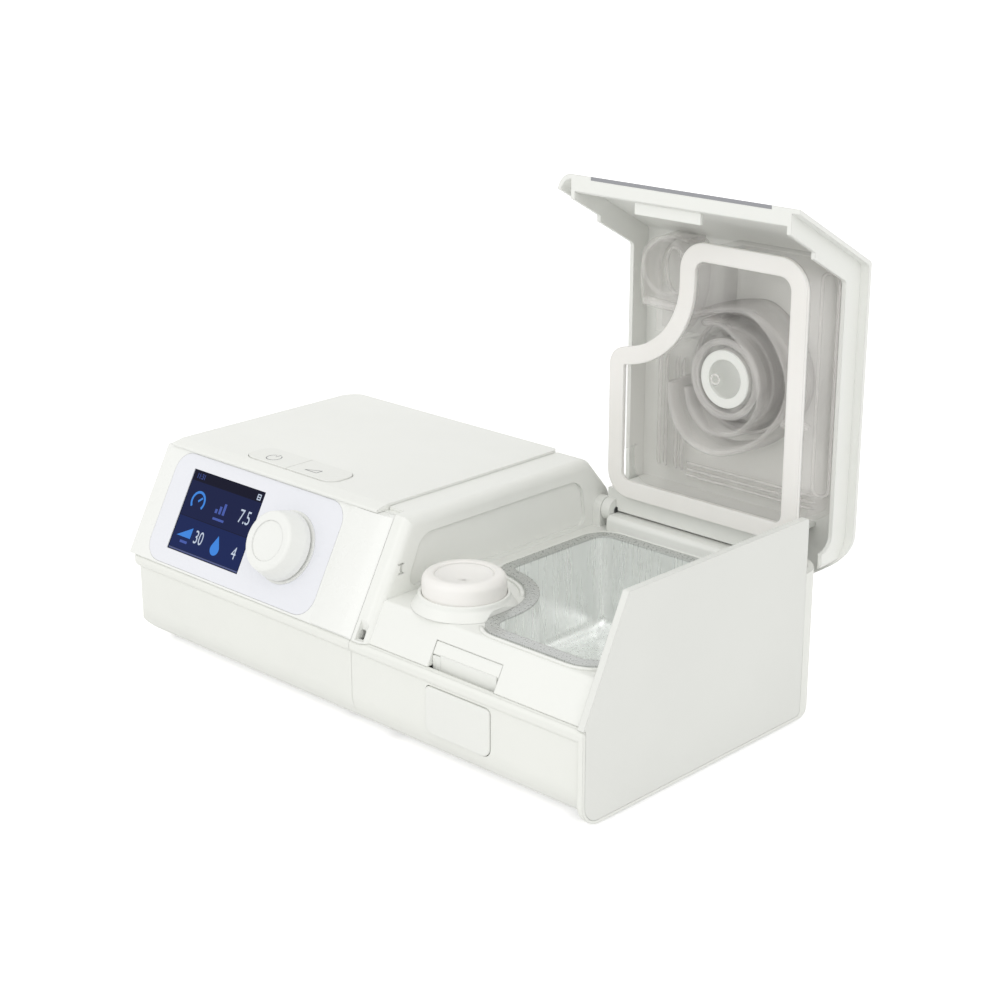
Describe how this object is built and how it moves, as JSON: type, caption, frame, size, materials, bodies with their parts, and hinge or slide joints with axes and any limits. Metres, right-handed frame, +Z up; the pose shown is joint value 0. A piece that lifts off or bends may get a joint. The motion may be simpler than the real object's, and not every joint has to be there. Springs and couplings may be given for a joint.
{
  "type": "bilevel pap machine",
  "caption": "Home breathing machine with a sloped screen and knob panel, keys on top, and a side humidifier with a steel tank under a hinged lid.",
  "frame": {"origin": "middle of the closed body's footprint, on the surface that the rubber feet stand on", "axes": "+X along the front from the blower module to the humidifier, +Y from the front to the rear, +Z up"},
  "size_m": [0.265, 0.1703, 0.2089],
  "materials": {
    "shell_white": "satin",
    "base_white": "fine matt",
    "bezel_white": "gloss",
    "faceplate_white": "smooth printed film",
    "screen_glass": "gloss",
    "key_white": "fine matt",
    "knob_white": "satin",
    "inlay_grey": "satin",
    "clear_plastic": "clear, polished",
    "silicone": "milky translucent",
    "steel": "drawn and brushed",
    "screw_steel": "plain",
    "heater_metal": "plain",
    "inner_plastic": "fine matt",
    "blower_plastic": "fine matt",
    "circuit_board": "solder mask",
    "black_plastic": "fine matt",
    "rubber_grey": "matt",
    "foam_grey": "open foam",
    "filter_white": "fibre",
    "magnet": "plain",
    "copper": "enamelled wire"
  },
  "bodies": {
    "machine": {"blower_base": "base_white", "humidifier_base": "base_white", "end_panel": "base_white", "rubber_feet": "rubber_grey", "base_screws": "screw_steel", "upper_housing": "shell_white", "front_bezel": "bezel_white", "faceplate": "faceplate_white", "display_window": "screen_glass", "lcd_module": "black_plastic", "control_board": "circuit_board", "lcd_spacers": "inner_plastic", "rotary_encoder": "inner_plastic", "knob_ring": "silicone", "top_cover": "shell_white", "key_board": "circuit_board", "key_switches": "black_plastic", "key_board_screws": "screw_steel", "blower_lower_case": "blower_plastic", "blower_upper_case": "blower_plastic", "blower_mounts": "rubber_grey", "blower_screws": "screw_steel", "motor_can": "heater_metal", "motor_bearings": "screw_steel", "motor_stator": "copper", "air_duct": "blower_plastic", "inlet_silencer": "inner_plastic", "silencer_foam": "foam_grey", "inlet_seal": "silicone", "main_board": "circuit_board", "board_screws": "screw_steel", "power_inlet": "black_plastic", "board_components": "black_plastic", "humidifier_liner": "shell_white", "connector_collar": "shell_white", "connector_seal": "silicone", "heater_plate": "heater_metal", "heater_carrier": "inner_plastic", "heater_insulator": "foam_grey", "latch_springs": "screw_steel", "hinge_pins": "screw_steel"},
    "lid": {"lid_shell": "shell_white", "lid_inlay": "inlay_grey", "lid_inner": "clear_plastic", "lid_gasket": "silicone", "lid_catch": "shell_white", "outlet_port": "shell_white"},
    "tank": {"water_tank": "steel"},
    "release": {"release_button": "key_white", "latch_slider": "shell_white"},
    "start_key": {"start_stop_key": "key_white"},
    "ramp_key_body": {"ramp_key": "key_white"},
    "knob_plunger": {"encoder_plunger": "screw_steel"},
    "knob_body": {"knob": "knob_white", "encoder_shaft": "screw_steel"},
    "rotor": {"impeller": "blower_plastic", "motor_shaft": "screw_steel", "motor_rotor": "magnet"},
    "filter": {"filter_cover": "shell_white", "air_filter": "filter_white"}
  },
  "joints": [
    {"name": "lid_hinge", "type": "hinge", "parent": "machine", "child": "lid", "pos_m": [0.073, 0.0654, 0.0632], "axis": [1, 0, 0], "range_deg": [0, 90]},
    {"name": "tank_lift", "type": "slide", "parent": "machine", "child": "tank", "axis": [0, 0, -1], "range_m": [-0.08, 0]},
    {"name": "release_press", "type": "slide", "parent": "machine", "child": "release", "axis": [0, 1, 0], "range_m": [0, 0.0025], "stiffness_N_per_m": 700, "springref_m": -0.001, "deforming": ["latch_springs"]},
    {"name": "start_key_press", "type": "slide", "parent": "machine", "child": "start_key", "axis": [0, 0, -1], "range_m": [0, 0.0005], "stiffness_N_per_m": 900, "springref_m": -0.0004},
    {"name": "ramp_key_press", "type": "slide", "parent": "machine", "child": "ramp_key_body", "axis": [0, 0, -1], "range_m": [0, 0.0005], "stiffness_N_per_m": 900, "springref_m": -0.0004},
    {"name": "knob_press", "type": "slide", "parent": "machine", "child": "knob_plunger", "axis": [0, 0.8763, -0.4818], "range_m": [0, 0.0005], "stiffness_N_per_m": 1200, "springref_m": -0.0006},
    {"name": "knob_turn", "type": "hinge", "parent": "knob_plunger", "child": "knob_body", "pos_m": [-0.0396, -0.06062, 0.06232], "axis": [0, -0.8763, 0.4818], "continuous": true},
    {"name": "rotor_spin", "type": "hinge", "parent": "machine", "child": "rotor", "pos_m": [-0.0705, 0.011, 0.03], "axis": [0, 0, 1], "continuous": true},
    {"name": "filter_pull", "type": "slide", "parent": "machine", "child": "filter", "axis": [0, 1, 0], "range_m": [0, 0.03]}
  ]
}
